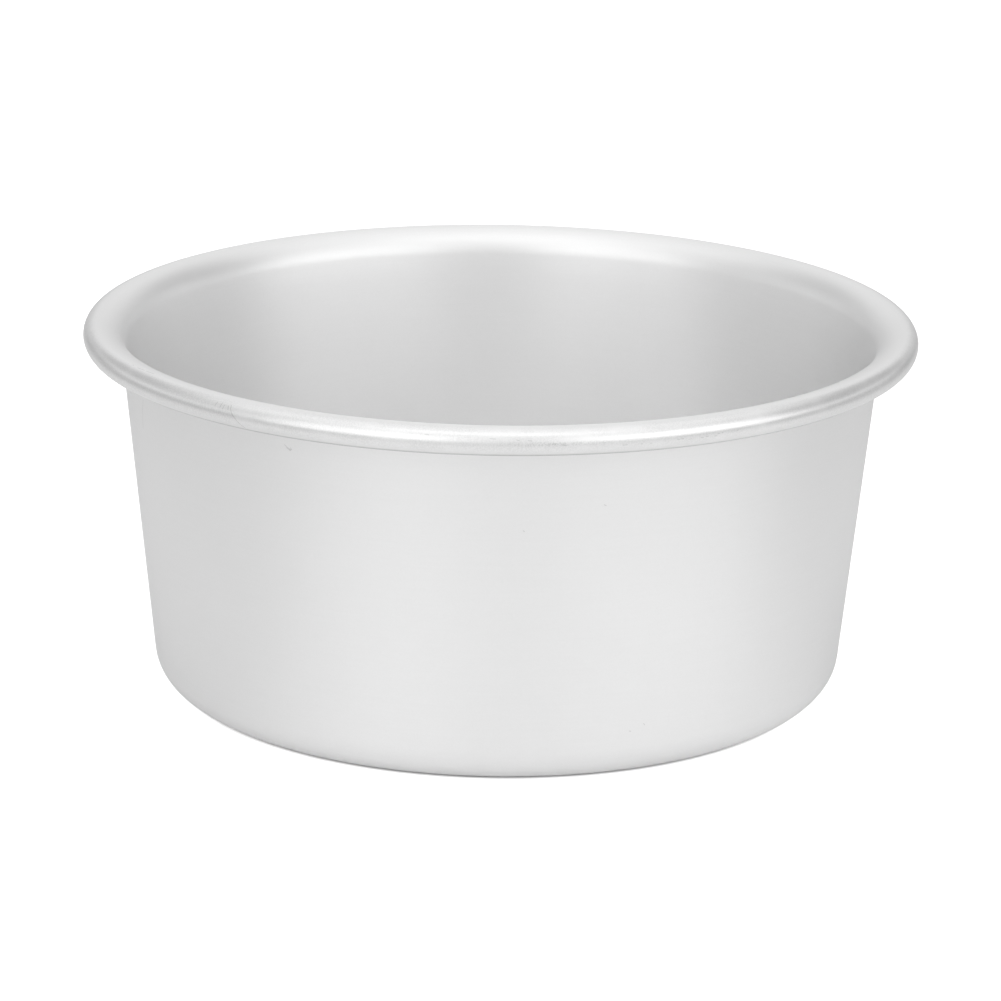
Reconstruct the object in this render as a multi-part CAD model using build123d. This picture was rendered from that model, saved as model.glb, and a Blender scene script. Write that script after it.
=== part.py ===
"""Round cake tin with a loose base, in millimetres, +Z up.

The origin is the middle of the foot, on the surface that the tin stands on. The tin is two
pieces of aluminium sheet, and both are round, so each is one sheet-metal section turned about Z.
tin_body is the drawn shell: a narrow ledge turned in at the foot, a rounded corner, a tapering
wall, and a rim that flares out and curls under into a hollow bead.
loose_base is the lift-out disc. Its border rests on the ledge, and its pressed-down middle drops
into the hole that the ledge leaves, which keeps the disc in place sideways.
"""

from build123d import *
import os
from math import acos, atan2, cos, degrees, pi, sin

# Sheet that both pieces are pressed from.
sheet = 1.0

# Shell, measured on its inside face. The mouth is where the wall's line meets the rim's height.
tin_height = 75.0
mouth_radius = 76.0
floor_radius = 68.5
floor_corner_radius = 6.4

# Rim. The inside face rolls outwards over the flare, and goes on as the outside of the bead.
rim_flare_radius = 5.85
bead_radius = 2.75
bead_turn_degrees = 280.0

# Ledge that carries the loose base, from the corner inwards to the edge of its hole.
ledge_width = 7.7

# Loose base. The step's two bends have this radius on their hollow side.
base_side_clearance = 0.3
step_bend_radius = 1.0
step_clearance = 0.5
foot_clearance = 0.3

# The corners of cut sheet are taken off by this much.
edge_break = 0.2

# Angles of the section, turned up from the outward direction.
upwards = pi / 2
inwards = pi

# The wall leans out from the vertical by this angle.
wall_lean = atan2(mouth_radius - floor_radius, tin_height - sheet)

# The corner arc touches the floor and the wall, and the flare arc touches the wall and the crest.
corner_centre_radius = (
    floor_radius - floor_corner_radius * (1 - sin(wall_lean)) / cos(wall_lean)
)
flare_centre_radius = (
    mouth_radius + rim_flare_radius * (1 - sin(wall_lean)) / cos(wall_lean)
)
ledge_hole_radius = corner_centre_radius - ledge_width

# The disc's border lies on the ledge, and its middle hangs in the hole, clear of the table.
base_radius = corner_centre_radius - base_side_clearance
base_border_height = sheet + sheet
step_drop = sheet - foot_clearance


def bend(centre, radius, start, turn):
    """An arc of the section, from the angle start on, through turn. Up from outwards is positive."""
    return CenterArc(centre, radius, degrees(start), degrees(turn))


def section(face_curve):
    """A closed sheet section between a face curve and the same curve one sheet deeper."""
    with BuildSketch(Plane.XZ) as outline:
        with BuildLine():
            near_start, near_end = face_curve(0)
            deep_start, deep_end = face_curve(sheet)
            Line(near_start, deep_start)
            Line(near_end, deep_end)
        make_face()
    return outline.sketch


def turned(outline):
    """The solid that an outline sweeps in a full turn about the tin's axis."""
    with BuildPart() as piece:
        add(outline)
        revolve(axis=Axis.Z)
    return piece.part


def shell_face(depth):
    """The shell's inside face from the ledge's edge to the end of the bead, or this much deeper."""
    floor_height = sheet - depth
    corner_centre = (corner_centre_radius, sheet + floor_corner_radius)
    flare_centre = (flare_centre_radius, tin_height - rim_flare_radius)
    bead_centre = (flare_centre_radius, tin_height - bead_radius)
    bead_turn = bead_turn_degrees * pi / 180
    ledge = Line((ledge_hole_radius, floor_height), (corner_centre_radius, floor_height))
    corner = bend(corner_centre, floor_corner_radius + depth, -upwards, upwards - wall_lean)
    flare = bend(flare_centre, rim_flare_radius - depth, inwards - wall_lean, wall_lean - upwards)
    Line(corner @ 1, flare @ 0)
    bead = bend(bead_centre, bead_radius - depth, upwards, -bead_turn)
    return ledge @ 0, bead @ 1


def make_tin_body():
    """The shell, with the corners of its ledge's cut edge taken off."""
    outline = section(shell_face)
    hole_edge = outline.vertices().group_by(Axis.X)[0]
    return turned(chamfer(hole_edge, length=edge_break))


def base_face(depth):
    """The disc's upper face from its edge to its middle, or this much deeper."""
    bend_mid_radius = step_bend_radius + sheet / 2
    step_turn = acos(1 - step_drop / (2 * bend_mid_radius))
    border_end_radius = ledge_hole_radius - step_clearance
    border_height = base_border_height - depth
    upper_centre = (border_end_radius, base_border_height - step_bend_radius - sheet)
    lower_centre = (
        border_end_radius - 2 * bend_mid_radius * sin(step_turn),
        base_border_height - step_drop + step_bend_radius,
    )
    border = Line((base_radius, border_height), (border_end_radius, border_height))
    bend(upper_centre, step_bend_radius + sheet - depth, upwards, step_turn)
    lower = bend(lower_centre, step_bend_radius + depth, step_turn - upwards, -step_turn)
    middle = Line(lower @ 1, (0, border_height - step_drop))
    return border @ 0, middle @ 1


def make_loose_base():
    """The lift-out disc, with the corners of its cut edge taken off."""
    outline = section(base_face)
    rim_edge = outline.vertices().group_by(Axis.X)[-1]
    return turned(chamfer(rim_edge, length=edge_break))


os.makedirs("parts", exist_ok=True)
export_step(make_tin_body(), "parts/tin_body.step")
export_step(make_loose_base(), "parts/loose_base.step")
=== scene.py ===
# %% [markdown]
# A round cake tin, pressed and spun from one sheet of aluminium, with a loose base that lifts out.
# Both pieces are anodised: an acid bath leaves the sheet silver-grey and satin, and rubs and knocks
# then polish it where it is touched, on the crest of the rolled rim.
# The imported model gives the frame: where each piece is, and how large. Everything here is in metres.

# %% Load the frame
from math import acos, atan2, cos, pi, radians, sin, tan

import bpy
from mathutils import Matrix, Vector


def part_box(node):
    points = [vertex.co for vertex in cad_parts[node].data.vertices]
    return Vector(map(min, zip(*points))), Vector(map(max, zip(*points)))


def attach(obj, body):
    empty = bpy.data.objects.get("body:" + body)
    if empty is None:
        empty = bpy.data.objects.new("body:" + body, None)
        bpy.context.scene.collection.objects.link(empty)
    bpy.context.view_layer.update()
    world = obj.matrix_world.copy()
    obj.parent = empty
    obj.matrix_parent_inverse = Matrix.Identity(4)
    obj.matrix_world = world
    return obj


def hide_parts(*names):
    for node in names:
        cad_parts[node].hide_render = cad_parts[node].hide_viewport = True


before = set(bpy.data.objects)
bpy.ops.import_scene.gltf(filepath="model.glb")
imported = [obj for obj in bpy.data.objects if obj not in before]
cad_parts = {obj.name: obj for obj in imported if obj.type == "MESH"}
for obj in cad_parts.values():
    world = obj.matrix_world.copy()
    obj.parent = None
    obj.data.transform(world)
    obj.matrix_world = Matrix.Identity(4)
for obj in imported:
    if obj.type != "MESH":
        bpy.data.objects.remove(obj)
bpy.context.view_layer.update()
mm = 0.001
print("pieces in the frame:", sorted(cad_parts))

# %% [markdown]
# The photographer stood well back with a long lens, so the far side of the rim looks nearly as wide
# as the near side. The camera could be placed by eye. Here it is set by a distance, a height angle
# and a slight tilt to one side, because these three are what a photographer sets on a tripod.

# %% Camera
look_height = 37.2 * mm
camera_distance = 940.7 * mm
camera_rise = radians(16.615)
camera_tilt = radians(0.8025)
sensor_width = 36.0
focal_length = 165.8
frame_side_pixels = 1001
right_pixels = 1.86
down_pixels = -3.63

bpy.ops.object.select_all(action="DESELECT")
bpy.ops.object.camera_add(
    location=(0, -camera_distance * cos(camera_rise), look_height + camera_distance * sin(camera_rise))
)
camera = bpy.context.object
camera.name = "camera"
aim = Matrix.Rotation(pi / 2 - camera_rise, 3, "X") @ Matrix.Rotation(camera_tilt, 3, "Z")
camera.rotation_euler = aim.to_euler()
camera.data.sensor_width = sensor_width
camera.data.lens = focal_length
camera.data.shift_x = right_pixels / frame_side_pixels
camera.data.shift_y = down_pixels / frame_side_pixels
camera.data.clip_start = 10 * mm
bpy.context.scene.camera = camera
print("camera", round(camera_distance / mm), "mm away, lens", focal_length, "mm")

# %% [markdown]
# The shell is one sheet bent into a ledge, a corner, a wall, a flare and a curled rim. It could be
# modelled as a cylinder with its edges bevelled, but then each radius would need its own bevel.
# A metal spinner thinks of it as a section turned about an axis, so that is how it is drawn here.
# One vertex is extruded along the straight stretches and spun round the centre of each bend.

# %% Sizes of the sheet
sheet = 1.0 * mm
tin_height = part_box("tin_body")[1].z
mouth_radius = 76.0 * mm
floor_radius = 68.5 * mm
floor_corner_radius = 6.4 * mm
rim_flare_radius = 5.85 * mm
bead_radius = 2.75 * mm
bead_turn = radians(280)
ledge_width = 7.7 * mm
edge_break = 0.2 * mm

wall_lean = atan2(mouth_radius - floor_radius, tin_height - sheet)
corner_centre = floor_radius - floor_corner_radius * (1 - sin(wall_lean)) / cos(wall_lean)
flare_centre = mouth_radius + rim_flare_radius * (1 - sin(wall_lean)) / cos(wall_lean)
ledge_hole_radius = corner_centre - ledge_width
rim_radius = flare_centre + bead_radius

# %% [markdown]
# A primitive has to be added to have something to edit. A small plane is merged to its middle, which
# leaves one vertex, and that vertex is moved to where the section starts.

# %% Drawing a section
steps_round = 256
flat_rows = 2
bend_rows = 12
wall_rows = 12
bead_rows = 36
merge_distance = 0.01 * mm
nearly_level = 0.9
cut_corner = radians(60)
smooth_corner = radians(40)


def start_section(name, radius, height):
    """Leaves edit mode on, with one selected vertex at that radius and height on the X side."""
    bpy.ops.object.select_all(action="DESELECT")
    bpy.ops.mesh.primitive_plane_add(size=sheet, location=(0, 0, 0))
    piece = bpy.context.object
    piece.name = name
    piece.data.name = name
    bpy.ops.object.mode_set(mode="EDIT")
    bpy.ops.mesh.select_all(action="SELECT")
    bpy.ops.mesh.merge(type="CENTER")
    bpy.ops.transform.translate(value=(radius, 0, height))
    return piece


def run(across, up, rows):
    """Draws the section on in a straight line, in that many equal rows."""
    for _ in range(rows):
        bpy.ops.mesh.extrude_vertices_move(
            TRANSFORM_OT_translate={"value": (across / rows, 0, up / rows)}
        )


def bend(radius, height, turn, rows):
    """Draws the section on round that centre. A positive turn goes from outwards to up."""
    bpy.ops.mesh.spin(steps=rows, angle=turn, center=(radius, 0, height), axis=(0, 1, 0))


def turn_about_axis(piece):
    """Sweeps the section once round the tin's axis and closes the seam."""
    bpy.ops.mesh.select_all(action="SELECT")
    bpy.ops.mesh.spin(steps=steps_round, angle=2 * pi, center=(0, 0, 0), axis=(0, 0, 1))
    bpy.ops.mesh.select_all(action="SELECT")
    bpy.ops.mesh.remove_doubles(threshold=merge_distance)
    bpy.ops.mesh.normals_make_consistent(inside=False)
    bpy.ops.object.mode_set(mode="OBJECT")
    print(piece.name, "surface:", len(piece.data.polygons), "faces")


def face_up_at(piece, radius):
    """Turns all faces over if the flat one nearest that radius looks down."""
    flat = [face for face in piece.data.polygons if abs(face.normal.z) > nearly_level]
    nearest = min(flat, key=lambda face: abs(face.center.xy.length - radius))
    looks_down = nearest.normal.z < 0
    if looks_down:
        bpy.ops.object.mode_set(mode="EDIT")
        bpy.ops.mesh.select_all(action="SELECT")
        bpy.ops.mesh.flip_normals()
        bpy.ops.object.mode_set(mode="OBJECT")
    print(piece.name, "faces turned over:", looks_down)


def apply_modifiers(piece):
    """Applies every modifier of the piece, in order."""
    for modifier in list(piece.modifiers):
        bpy.ops.object.modifier_apply(modifier=modifier.name)


def thicken(piece):
    """Gives the surface the sheet's thickness, behind the side that its faces look to."""
    wall = piece.modifiers.new("sheet", "SOLIDIFY")
    wall.thickness = sheet
    wall.offset = -1
    wall.use_even_offset = True
    cut = piece.modifiers.new("cut edges", "BEVEL")
    cut.width = edge_break
    cut.segments = 2
    cut.limit_method = "ANGLE"
    cut.angle_limit = cut_corner
    apply_modifiers(piece)
    bpy.ops.object.shade_smooth_by_angle(angle=smooth_corner)
    print(piece.name, "sheet:", len(piece.data.polygons), "faces")


print("steps round the axis:", steps_round)

# %% [markdown]
# The shell's section starts at the hole in the ledge. It runs out along the ledge, round the corner,
# up the wall, over the flare and on round the bead, always on the inside face. The faces have to
# look into the tin, because the sheet's thickness goes behind them.

# %% Shell
shell = start_section("shell", ledge_hole_radius, sheet)
run(ledge_width, 0, flat_rows)
bend(corner_centre, sheet + floor_corner_radius, pi / 2 - wall_lean, bend_rows)
wall_foot = corner_centre + floor_corner_radius * cos(wall_lean)
wall_foot_height = sheet + floor_corner_radius * (1 - sin(wall_lean))
wall_top = flare_centre - rim_flare_radius * cos(wall_lean)
wall_top_height = tin_height - rim_flare_radius * (1 - sin(wall_lean))
run(wall_top - wall_foot, wall_top_height - wall_foot_height, wall_rows)
bend(flare_centre, tin_height - rim_flare_radius, wall_lean - pi / 2, bend_rows)
bend(flare_centre, tin_height - bead_radius, -bead_turn, bead_rows)
turn_about_axis(shell)
face_up_at(shell, ledge_hole_radius)
thicken(shell)

# %% [markdown]
# The loose base is a flat disc with its middle pressed down by less than its own thickness, so that
# it drops into the hole of the ledge and can't slide about. It could be a squashed cylinder, but
# the soft double bend of the step is what shows that it was pressed. So it is a turned section too.

# %% Loose base
base_side_clearance = 0.3 * mm
step_clearance = 0.5 * mm
step_bend_radius = 1.0 * mm
foot_clearance = 0.3 * mm
step_rows = 6
middle_rows = 8

base_radius = corner_centre - base_side_clearance
border_end = ledge_hole_radius - step_clearance
step_drop = sheet - foot_clearance
bend_reach = 2 * step_bend_radius + sheet
step_turn = acos(1 - step_drop / bend_reach)
middle_edge = border_end - bend_reach * sin(step_turn)
middle_height = 2 * sheet - step_drop

base = start_section("base_disc", 0, middle_height)
run(middle_edge, 0, middle_rows)
bend(middle_edge, middle_height + step_bend_radius, step_turn, step_rows)
bend(border_end, sheet - step_bend_radius, -step_turn, step_rows)
run(base_radius - border_end, 0, flat_rows)
turn_about_axis(base)
face_up_at(base, base_radius)
thicken(base)

# %% [markdown]
# The finish is satin anodised aluminium. Etching before the anodising bath leaves pits far smaller
# than a pixel, so light spreads softly, and the surface reads as a pale, slightly cloudy grey with
# a very fine grain. Bare aluminium reflects about nine tenths of the light, and the oxide film takes
# some of that. The metal could be one colour and one roughness, but it would look like plastic.

# %% Nodes and colours


def to_linear(hex_colour):
    """Turns an sRGB colour such as #DDDDDD into the linear values that a shader takes."""
    channels = [int(hex_colour[i:i + 2], 16) / 255 for i in (1, 3, 5)]
    linear = [c / 12.92 if c <= 0.04045 else ((c + 0.055) / 1.055) ** 2.4 for c in channels]
    return (*linear, 1.0)


def add_node(tree, kind, inputs=None, **settings):
    """Adds a shader node. An input that is a socket is linked, and any other is set."""
    node = tree.nodes.new("ShaderNode" + kind)
    for name, value in settings.items():
        setattr(node, name, value)
    for key, value in (inputs or {}).items():
        if isinstance(value, bpy.types.NodeSocket):
            tree.links.new(value, node.inputs[key])
        else:
            node.inputs[key].default_value = value
    return node


def new_material(name):
    """An empty material, and its node tree."""
    material = bpy.data.materials.new(name)
    material.use_nodes = True
    material.node_tree.nodes.clear()
    return material, material.node_tree


print("linear value of #808080:", round(to_linear("#808080")[0], 3))

# %% [markdown]
# Drawing and spinning leave fine lines that run round the tin, and wear follows its rim. So the
# finish needs to know where on the sheet each point is: how far round, how high, how far out, and at
# which angle on the bead. These come from the object's own coordinates, so the pattern is part of
# the tin and turns with it. Unwrapping the mesh would serve as well. Most changes of the finish
# cover a stretch of angles, round the tin or round the bead, so one function makes such a mask.

# %% Where a point is on the sheet


def sheet_place(tree):
    """Sockets for a point's place, its direction from the axis, radius, height, turn, bead angle."""
    place = add_node(tree, "TexCoord").outputs["Object"]
    height = add_node(tree, "SeparateXYZ", {0: place}).outputs["Z"]
    flat = add_node(tree, "VectorMath", {0: place, 1: (1, 1, 0)}, operation="MULTIPLY").outputs[0]
    radius = add_node(tree, "VectorMath", {0: flat}, operation="LENGTH").outputs["Value"]
    heading = add_node(tree, "VectorMath", {0: flat}, operation="NORMALIZE").outputs[0]
    parts = add_node(tree, "SeparateXYZ", {0: flat})
    front = add_node(tree, "Math", {0: parts.outputs["Y"], 1: -1.0}, operation="MULTIPLY").outputs[0]
    turn = add_node(tree, "Math", {0: parts.outputs["X"], 1: front}, operation="ARCTAN2").outputs[0]
    out = add_node(tree, "Math", {0: radius, 1: flare_centre}, operation="SUBTRACT").outputs[0]
    up = add_node(
        tree, "Math", {0: height, 1: tin_height - bead_radius}, operation="SUBTRACT"
    ).outputs[0]
    bead_angle = add_node(tree, "Math", {0: up, 1: out}, operation="ARCTAN2").outputs[0]
    return {
        "place": place,
        "heading": heading,
        "radius": radius,
        "height": height,
        "turn": turn,
        "bead angle": bead_angle,
    }


def between(tree, angle, stops):
    """1 on a stretch of an angle: up from the first stop to the second, down from third to fourth."""
    rise_from, full_from, full_to, fall_to = [radians(stop) for stop in stops]
    ends = []
    for nothing, full in ((rise_from, full_from), (fall_to, full_to)):
        end = add_node(
            tree,
            "MapRange",
            {"Value": angle, "From Min": nothing, "From Max": full},
            interpolation_type="SMOOTHSTEP",
        )
        ends.append(end.outputs["Result"])
    return add_node(tree, "Math", {0: ends[0], 1: ends[1]}, operation="MULTIPLY").outputs[0]


def round_lines(tree, where, pitch, length):
    """Noise drawn out round the axis: fine across the sheet's section, and long around it."""
    around = add_node(
        tree, "VectorMath", {0: where["heading"], "Scale": mouth_radius / length}, operation="SCALE"
    ).outputs[0]
    rows = add_node(tree, "Math", {0: where["height"], 1: 1 / pitch}, operation="MULTIPLY").outputs[0]
    rings = add_node(tree, "Math", {0: where["radius"], 1: 1 / pitch}, operation="MULTIPLY").outputs[0]
    rise = add_node(tree, "CombineXYZ", {"Z": rows}).outputs[0]
    vector = add_node(tree, "VectorMath", {0: around, 1: rise}, operation="ADD").outputs[0]
    return add_node(
        tree,
        "TexNoise",
        {"Vector": vector, "W": rings, "Scale": 1.0, "Detail": 2.0},
        noise_dimensions="4D",
    ).outputs["Fac"]


# %% [markdown]
# Small marks are scratches, hairlines and one ding, and each is a short line on the sheet. They
# could be scattered by a noise, but marks from handling have no pattern, and the eye knows it.
# So each one is listed one by one, by how many degrees round from the front it starts and ends, and by
# its height on the wall or its angle on the bead.

# %% Marks from handling
# Turn and bead angle where the mark starts, and where it ends, all in degrees.
rim_marks = [
    (-39.7, 44, -39.9, 28),
    (-38.9, 46, -39.0, 26),
    (-38.4, 40, -38.5, 22),
    (-37.7, 40, -37.6, 24),
    (-37.3, 44, -37.2, 28),
    (-37.2, 28, -36.8, 10),
    (-36.8, 10, -35.9, -16),
    (-35.9, -16, -35.0, -44),
    (-60.2, 78, -59.9, 76),
    (-58.6, 76, -57.8, 77),
    (-57.6, 78, -56.9, 79),
    (-56.4, 80, -54.4, 84),
    (-1.2, 24, -0.5, 23),
    (-9.5, 31, -9.0, 30),
    (2.2, 20, 2.5, 17),
    (3.6, 18, 4.1, 16),
    (6.7, 4, 7.1, 2),
    (8.0, -2, 8.5, -3),
    (15.8, -13, 16.4, -13),
    (18.2, -13, 18.4, -13),
    (19.5, -14, 19.7, -13),
    (23.2, -8, 23.5, -9),
    (23.8, -7, 24.1, -8),
    (24.8, -13, 25.2, -12),
    (26.6, -11, 26.9, -12),
    (27.3, -10, 27.6, -11),
    (28.6, -13, 28.9, -12),
    (29.0, -4, 29.3, -5),
    (29.6, -3, 29.8, -4),
    (31.9, -4, 32.1, -1),
]
# Turn in degrees and height in millimetres where the mark starts, and where it ends.
wall_marks = [
    (-67.2, 64.8, -68.0, 62.4),
    (-68.0, 62.4, -68.9, 58.4),
    (-32.2, 66.1, -31.7, 65.6),
    (-31.7, 65.6, -31.1, 65.3),
    (-31.1, 65.3, -31.2, 65.7),
    (-31.9, 65.6, -31.3, 65.1),
    (-31.3, 65.1, -31.0, 65.5),
    (-31.6, 65.4, -31.2, 65.2),
    (3.6, 52.9, 3.8, 52.7),
    (15.3, 57.6, 15.6, 57.4),
    (23.8, 11.4, 24.0, 11.1),
    (21.4, 10.2, 21.7, 10.1),
]
# A real hairline is thinner than a pixel, so the marks are drawn wider and paler.
mark_width = 0.11 * mm
mark_strength = 0.3


def line_mark(tree, place, start, end):
    """A mark's strength on the straight line from start to end, and 0 from its width away."""
    along = [b - a for a, b in zip(start, end)]
    length_squared = sum(step * step for step in along)
    offset = add_node(tree, "VectorMath", {0: place, 1: start}, operation="SUBTRACT").outputs[0]
    share = add_node(
        tree,
        "VectorMath",
        {0: offset, 1: [step / length_squared for step in along]},
        operation="DOT_PRODUCT",
    ).outputs["Value"]
    share = add_node(tree, "Clamp", {"Value": share}).outputs[0]
    nearest = add_node(tree, "VectorMath", {0: along, "Scale": share}, operation="SCALE").outputs[0]
    gap = add_node(tree, "VectorMath", {0: offset, 1: nearest}, operation="DISTANCE").outputs["Value"]
    return add_node(
        tree,
        "MapRange",
        {"Value": gap, "From Min": mark_width, "From Max": mark_width / 3, "To Max": mark_strength},
        interpolation_type="SMOOTHSTEP",
    ).outputs["Result"]


def handling_marks(tree, where):
    """All marks on one mask. The wall's map has the radius too, so its marks stay on the outside."""
    around = add_node(
        tree, "Math", {0: where["turn"], 1: rim_radius}, operation="MULTIPLY"
    ).outputs[0]
    bead = add_node(
        tree, "Math", {0: where["bead angle"], 1: bead_radius}, operation="MULTIPLY"
    ).outputs[0]
    rim_map = add_node(tree, "CombineXYZ", {"X": around, "Y": bead}).outputs[0]
    wall_map = add_node(
        tree, "CombineXYZ", {"X": around, "Y": where["height"], "Z": where["radius"]}
    ).outputs[0]
    masks = []
    for start_turn, start_angle, end_turn, end_angle in rim_marks:
        start = (radians(start_turn) * rim_radius, radians(start_angle) * bead_radius, 0)
        end = (radians(end_turn) * rim_radius, radians(end_angle) * bead_radius, 0)
        masks.append(line_mark(tree, rim_map, start, end))
    for start_turn, start_height, end_turn, end_height in wall_marks:
        points = []
        for turn, height in ((start_turn, start_height), (end_turn, end_height)):
            outside = floor_radius + sheet / cos(wall_lean) + (height * mm - sheet) * tan(wall_lean)
            points.append((radians(turn) * rim_radius, height * mm, outside))
        masks.append(line_mark(tree, wall_map, *points))
    together = masks[0]
    for mask in masks[1:]:
        together = add_node(tree, "Math", {0: together, 1: mask}, operation="MAXIMUM").outputs[0]
    return together


print("marks placed:", len(rim_marks) + len(wall_marks))

# %% [markdown]
# Light that meets fine lines spreads across them and stays narrow along them. On a tin the lines run
# round, so each bright window or lamp is drawn out up and down the wall, and the wall shows soft
# upright bands. One roughness for all directions blurs the bands away before it hides the lamp's
# edges. Anisotropic spreads the light along the tangent, and a quarter turn sets it across the lines.

# %% Satin anodised aluminium
# The etched grain and the spinning lines are hundredths of a millimetre apart. They are drawn
# coarser, at the size of a pixel or two, so that they can be seen at all.
grain_size = 0.35 * mm
line_pitch = 0.45 * mm
line_length = 14 * mm
cloud_size = 28 * mm
grain_bump = 0.15
grain_depth = 0.02 * mm
spread_across_lines = 0.6
quarter_turn = 0.25

# The eye gets a pale silver-grey with no colour in it, and soft highlights with no sharp edge.
satin_light = "#F8F8F8"
satin_dark = "#F0F0F0"
satin_roughness = 0.42
roughness_swing = 0.04


def satin_aluminium(name):
    """Silver-grey metal with a fine etched grain, faint lines round it and clouds of shade."""
    material, tree = new_material(name)
    where = sheet_place(tree)
    grain = add_node(
        tree, "TexNoise", {"Vector": where["place"], "Scale": 1 / grain_size, "Detail": 2.0}
    ).outputs["Fac"]
    cloud = add_node(
        tree, "TexNoise", {"Vector": where["place"], "Scale": 1 / cloud_size, "Detail": 3.0}
    ).outputs["Fac"]
    lines = round_lines(tree, where, line_pitch, line_length)

    # Half of the shade's change is grain, and lines and clouds share the other half.
    broad = add_node(tree, "Mix", {0: 0.5, 2: lines, 3: cloud}, data_type="FLOAT").outputs[0]
    texture = add_node(tree, "Mix", {0: 0.5, 2: grain, 3: broad}, data_type="FLOAT").outputs[0]
    shade = add_node(
        tree,
        "Mix",
        {0: texture, 6: to_linear(satin_light), 7: to_linear(satin_dark)},
        data_type="RGBA",
    ).outputs[2]
    dull = add_node(
        tree,
        "MapRange",
        {
            "Value": grain,
            "To Min": satin_roughness - roughness_swing,
            "To Max": satin_roughness + roughness_swing,
        },
    ).outputs["Result"]
    bump = add_node(
        tree, "Bump", {"Height": grain, "Strength": grain_bump, "Distance": grain_depth}
    )
    around = add_node(tree, "Tangent", direction_type="RADIAL", axis="Z").outputs["Tangent"]
    shader = add_node(
        tree,
        "BsdfPrincipled",
        {
            "Base Color": shade,
            "Metallic": 1.0,
            "Roughness": dull,
            "Anisotropic": spread_across_lines,
            "Anisotropic Rotation": quarter_turn,
            "Normal": bump.outputs["Normal"],
            "Tangent": around,
        },
    )
    add_node(tree, "OutputMaterial", {"Surface": shader.outputs["BSDF"]})
    return material, tree, where, shader


base_finish = satin_aluminium("satin_anodised_base")[0]
base.data.materials.append(base_finish)
print("nodes in the base's finish:", len(base_finish.node_tree.nodes))

# %% [markdown]
# Hands, racks and other tins touch the outside of the bead. There the etched grain is rubbed down,
# and reflections are a little sharper and slightly uneven. A second material on those faces would
# end at a hard line, so the same finish is changed by a mask of the bead angle that fades out.

# %% Rubbed rim
# The eye gets a brighter, tighter highlight along the bead, slightly blotchy from place to place.
rubbed_angles = (-50, -20, 60, 95)
blotch_size = 6 * mm
blotch_ends = (0.1, 0.6)
rubbed_roughness = (0.27, 0.35)
rubbed_spread = 0.1

shell_finish, tree, where, shader = satin_aluminium("satin_anodised_shell")
blotches = add_node(
    tree, "TexNoise", {"Vector": where["place"], "Scale": 1 / blotch_size, "Detail": 3.0}
).outputs["Fac"]
uneven = add_node(
    tree,
    "MapRange",
    {"Value": blotches, "From Min": blotch_ends[0], "From Max": blotch_ends[1]},
    interpolation_type="SMOOTHSTEP",
).outputs["Result"]
touched = between(tree, where["bead angle"], rubbed_angles)
rubbed = add_node(tree, "Math", {0: touched, 1: uneven}, operation="MULTIPLY").outputs[0]

dull = shader.inputs["Roughness"].links[0].from_socket
sharper = add_node(
    tree,
    "MapRange",
    {"Value": blotches, "To Min": rubbed_roughness[0], "To Max": rubbed_roughness[1]},
).outputs["Result"]
roughness = add_node(tree, "Mix", {0: rubbed, 2: dull, 3: sharper}, data_type="FLOAT").outputs[0]
tree.links.new(roughness, shader.inputs["Roughness"])
spread = add_node(
    tree, "MapRange", {"Value": rubbed, "To Min": spread_across_lines, "To Max": rubbed_spread}
).outputs["Result"]
tree.links.new(spread, shader.inputs["Anisotropic"])
print("rubbed from", rubbed_angles[0], "to", rubbed_angles[-1], "degrees on the bead")

# %% [markdown]
# Rubbing takes the tops off the etched grain and leaves its pits, so the rim looks speckled from
# close by. The true pits are a few hundredths of a millimetre, which is too fine for a pixel, so they
# are drawn coarser. A bump could make them too, but on so small a bead it would only add noise.

# %% Speckle of the rubbed rim
pit_size = 0.3 * mm
pit_ends = (0.35, 0.65)
speckle_light = to_linear("#F0F0F0")
speckle_dark = to_linear("#E8E8E8")

pits = add_node(
    tree, "TexNoise", {"Vector": where["place"], "Scale": 1 / pit_size, "Detail": 1.0}
).outputs["Fac"]
pitted = add_node(
    tree,
    "MapRange",
    {"Value": pits, "From Min": pit_ends[0], "From Max": pit_ends[1]},
    interpolation_type="SMOOTHSTEP",
).outputs["Result"]
speckled = add_node(
    tree, "Mix", {0: pitted, 6: speckle_light, 7: speckle_dark}, data_type="RGBA"
).outputs[2]
satin = shader.inputs["Base Color"].links[0].from_socket
shade = add_node(tree, "Mix", {0: rubbed, 6: satin, 7: speckled}, data_type="RGBA").outputs[2]
print("pits drawn at", round(pit_size / mm, 2), "mm")

# %% [markdown]
# Three darker things lie over the metal's own shade. Under the bead, where the bead keeps light
# off the crease, a grey line is painted shade. A patch of the rim near the front is scuffed, and its
# open pits hold dirt. And there are the marks from handling. Each is a mask, and all three go to one
# grey.

# %% Painted shade in the crease, scuffed patch and marks
crease_shade_angles = (-115, -90, -74, -42)
crease_shade_strength = 0.8
scuffed_turn = (-2, 4, 11, 19)
scuffed_angles = (-8, 0, 7, 15)
open_pit_ends = (0.45, 0.6)
scuffed_strength = 0.12
# This grey is dirt in the scuffed pits and the marks, and painted shade in the crease line under the
# bead.
dirt_and_painted_shade = to_linear("#8C8C8C")

# The wall under the bead has some of the same angles, so the painted shade also ends at the bead's
# bottom.
bead_bottom = tin_height - 2 * bead_radius
high_enough = add_node(
    tree,
    "MapRange",
    {
        "Value": where["height"],
        "From Min": bead_bottom - sheet / 3,
        "From Max": bead_bottom,
        "To Max": crease_shade_strength,
    },
    interpolation_type="SMOOTHSTEP",
).outputs["Result"]
below = between(tree, where["bead angle"], crease_shade_angles)
# The crease line is painted shade: it darkens the metal where the bead hides it from the light.
crease_shade = add_node(tree, "Math", {0: below, 1: high_enough}, operation="MULTIPLY").outputs[0]

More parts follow.
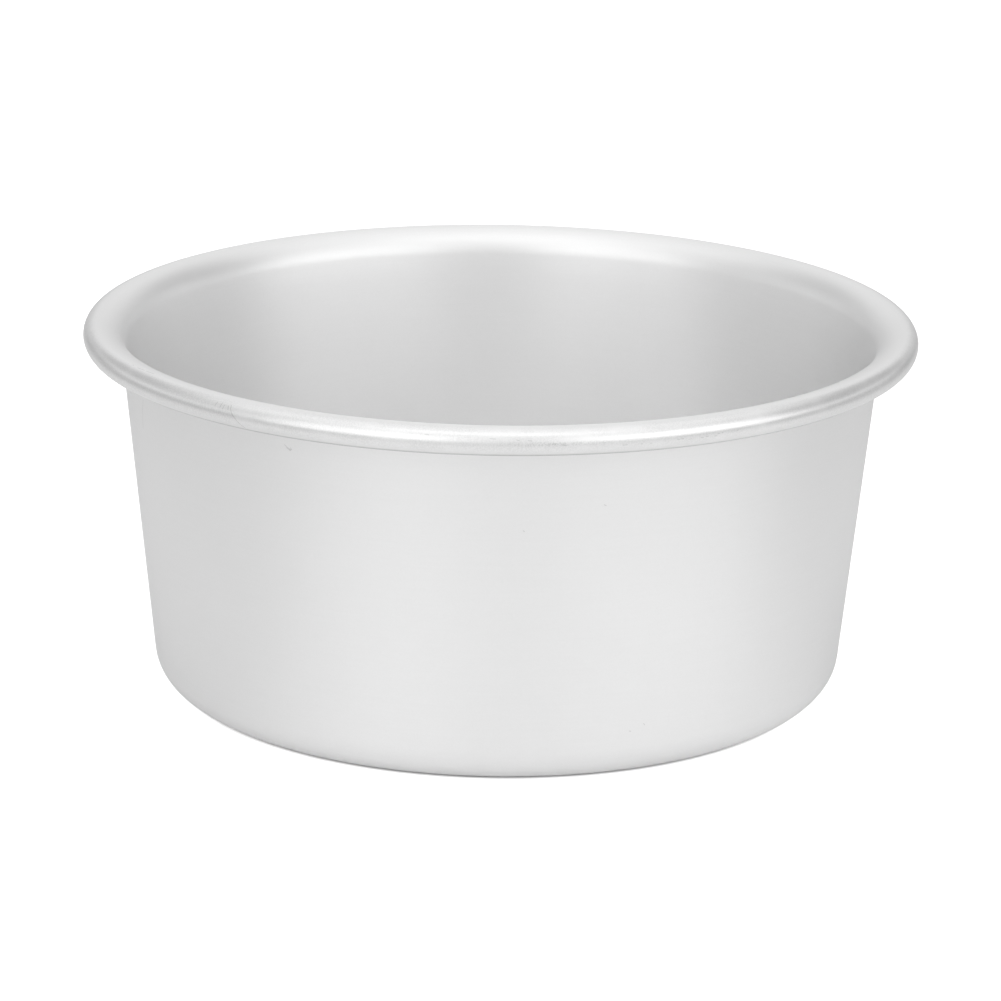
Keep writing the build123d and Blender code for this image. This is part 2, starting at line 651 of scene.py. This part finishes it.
scuffed = add_node(
    tree,
    "MapRange",
    {
        "Value": pits,
        "From Min": open_pit_ends[0],
        "From Max": open_pit_ends[1],
        "To Max": scuffed_strength,
    },
    interpolation_type="SMOOTHSTEP",
).outputs["Result"]
for angle, stops in (("turn", scuffed_turn), ("bead angle", scuffed_angles)):
    mask = between(tree, where[angle], stops)
    scuffed = add_node(tree, "Math", {0: scuffed, 1: mask}, operation="MULTIPLY").outputs[0]

for mask in (crease_shade, scuffed, handling_marks(tree, where)):
    shade = add_node(tree, "Mix", {0: mask, 6: shade, 7: dirt_and_painted_shade}, data_type="RGBA").outputs[2]
tree.links.new(shade, shader.inputs["Base Color"])
shell.data.materials.append(shell_finish)
print("nodes in the shell's finish:", len(tree.nodes))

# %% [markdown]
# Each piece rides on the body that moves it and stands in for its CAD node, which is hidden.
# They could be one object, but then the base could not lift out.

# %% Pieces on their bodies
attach(shell, "tin")
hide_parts("tin_body")
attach(base, "base")
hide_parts("loose_base")
print("pieces that replace nodes:", shell.name, base.name)

# %% [markdown]
# The tin stands on white paper. In the picture only a thin dark line shows under the foot, and all
# else is plain white. A shadow catcher could give that. Here the paper is real and takes the light,
# and it glows a little for the camera alone, so the wide part of the shadow clips to white. The glow
# starts just outside the foot, which leaves the thin line.
# The wall mirrors the paper. So light and shade are painted into the paper's colour: brighter in
# front, where the lamps are near, and greyer far away, where less light would fall on it. It ends on
# a darker table to the left and right. It lies a hair lower than the foot, as two faces in one place
# would flicker.

# %% Floor
floor_side = 6000 * mm
paper_drop = 0.05 * mm
painted_light_side = radians(15)
painted_light_ends = (0.1, 0.85)
painted_falloff_edge = (160 * mm, 260 * mm)
painted_falloff_share = 0.5
table_edge = (270 * mm, 330 * mm)
fibre_size = 2 * mm
fibre_share = 0.08
glow_edge = (64 * mm, 66 * mm)
glow_strength = 0.75
paper_grey = "#EBEBEB"
# The tint in front is painted light and the tint far away is painted shade; fibres and table are their
# own colour.
tints = {"painted_light": "#FAFAFA", "painted_falloff": "#D4D4D4", "fibres": "#D8D8D8", "table": "#C4C4C4"}

bpy.ops.object.select_all(action="DESELECT")
bpy.ops.mesh.primitive_plane_add(size=floor_side, location=(0, 0, -paper_drop))
floor = bpy.context.object
floor.name = "floor"
floor_finish, tree = new_material("white_paper")
place = add_node(tree, "TexCoord").outputs["Object"]
distance = add_node(tree, "VectorMath", {0: place}, operation="LENGTH").outputs["Value"]
heading = add_node(tree, "VectorMath", {0: place}, operation="NORMALIZE").outputs[0]
painted_light_direction = (sin(painted_light_side), -cos(painted_light_side), 0)
facing = add_node(
    tree, "VectorMath", {0: heading, 1: painted_light_direction}, operation="DOT_PRODUCT"
).outputs["Value"]
sideways = add_node(tree, "SeparateXYZ", {0: place}).outputs["X"]
sideways = add_node(tree, "Math", {0: sideways}, operation="ABSOLUTE").outputs[0]

# Each is a value, where it is 0, where it is full, and how strong it then is.
soft_steps = {
    "painted_light": (facing, *painted_light_ends, 1.0),
    "painted_falloff": (distance, *painted_falloff_edge, painted_falloff_share),
    "table": (sideways, *table_edge, 1.0),
    "glow": (distance, *glow_edge, glow_strength),
}
masks = {}
for name, (value, nothing, full, strength) in soft_steps.items():
    masks[name] = add_node(
        tree,
        "MapRange",
        {"Value": value, "From Min": nothing, "From Max": full, "To Max": strength},
        interpolation_type="SMOOTHSTEP",
    ).outputs["Result"]
fibres = add_node(
    tree, "TexNoise", {"Vector": place, "Scale": 1 / fibre_size, "Detail": 3.0}
).outputs["Fac"]
masks["fibres"] = add_node(
    tree, "Math", {0: fibres, 1: fibre_share}, operation="MULTIPLY"
).outputs[0]

shade = to_linear(paper_grey)
for name, colour in tints.items():
    shade = add_node(
        tree, "Mix", {0: masks[name], 6: shade, 7: to_linear(colour)}, data_type="RGBA"
    ).outputs[2]
paper = add_node(tree, "BsdfDiffuse", {"Color": shade})
glow = add_node(tree, "Emission", {"Color": (1, 1, 1, 1), "Strength": masks["glow"]})
both = add_node(tree, "AddShader", {0: paper.outputs[0], 1: glow.outputs[0]})
rays = add_node(tree, "LightPath").outputs["Is Camera Ray"]
seen = add_node(tree, "MixShader", {0: rays, 1: paper.outputs[0], 2: both.outputs[0]})
add_node(tree, "OutputMaterial", {"Surface": seen.outputs[0]})
floor.data.materials.append(floor_finish)
print("paper's glow starts", round(glow_edge[0] / mm), "mm from the axis")

# %% [markdown]
# Metal shows the room more than it shows itself, so the room is the light. It reads as a white tent:
# a bright roof, a brighter band high in front, and two soft boxes, left and right of the camera, with
# a gap between them. The tent is darker where it opens to each side and low behind, and these places
# draw the grey edges. A pale line low on each side draws the thin light between the dark strips at
# the ends of the rim. Lamps could do that, but each panel's picture in the metal matters more than
# its beam, so the panels are painted on the sky.

# %% World
world = bpy.data.worlds.new("light_tent")
bpy.context.scene.world = world
world.use_nodes = True
tree = world.node_tree
tree.nodes.clear()
sky = add_node(tree, "TexCoord").outputs["Generated"]
parts = add_node(tree, "SeparateXYZ", {0: sky})
rise = add_node(tree, "Math", {0: parts.outputs["Z"]}, operation="ARCSINE").outputs[0]
front = add_node(tree, "Math", {0: parts.outputs["Y"], 1: -1.0}, operation="MULTIPLY").outputs[0]
turn = add_node(tree, "Math", {0: parts.outputs["X"], 1: front}, operation="ARCTAN2").outputs[0]


def panel(left, right, low, high, soft=8):
    """1 on a patch of the sky, in degrees round from the camera and up from the floor, else 0."""
    middle, half_width = (left + right) / 2, (right - left) / 2
    aside = add_node(tree, "Math", {0: turn, 1: radians(middle)}, operation="SUBTRACT").outputs[0]
    aside = add_node(tree, "Math", {0: aside, 1: pi, 2: -pi}, operation="WRAP").outputs[0]
    across = between(
        tree,
        aside,
        (-half_width - soft, -half_width + soft, half_width - soft, half_width + soft),
    )
    upright = between(tree, rise, (low - soft, low + soft, high - soft, high + soft))
    return add_node(tree, "Math", {0: across, 1: upright}, operation="MULTIPLY").outputs[0]


# Left, right, low and high edge in degrees, and what the panel adds to the tent's level.
panels = {
    "roof": (-200, 200, 74, 200, 0.15),
    "lamp over the camera": (-60, 60, 56, 76, 0.5),
    "left of the lamp": (-120, -60, 50, 76, 0.12),
    "right of the lamp": (60, 120, 50, 76, 0.08),
    "under the lamp": (-40, 40, 36, 56, 0.06),
    "high behind": (110, 250, 54, 74, 0.15),
    "right box": (20, 77, -99, 36, 0.56),
    "right box's far edge": (77, 90, 0, 42, 0.3),
    "left box": (-64, -12, -99, 42, 0.4),
    "left box's near half": (-36, -12, -99, 34, 0.17),
    "left of the left box": (-110, -64, 14, 42, 0.16),
    "right opening": (77, 150, -99, 42, -0.37),
    "left opening": (-150, -64, -99, 42, -0.33),
    "low behind": (130, 230, -99, 14, -0.25),
    "line on the left": (-150, -70, 6, 12, 0.6),
    "line on the right": (70, 150, 6, 12, 0.65),
}
tent_level = 0.87

level = tent_level
for left, right, low, high, gain in panels.values():
    mask = panel(left, right, low, high)
    level = add_node(tree, "Math", {0: mask, 1: gain, 2: level}, operation="MULTIPLY_ADD").outputs[0]
rays = add_node(tree, "LightPath").outputs["Is Camera Ray"]
room = add_node(tree, "Background", {"Color": (1, 1, 1, 1), "Strength": level})
white = add_node(tree, "Background", {"Color": (1, 1, 1, 1), "Strength": 1.0})
seen = add_node(tree, "MixShader", {0: rays, 1: room.outputs[0], 2: white.outputs[0]})
add_node(tree, "OutputWorld", {"Surface": seen.outputs[0]})
print("panels in the tent:", len(panels))

bpy.context.scene.view_settings.view_transform = "Standard"
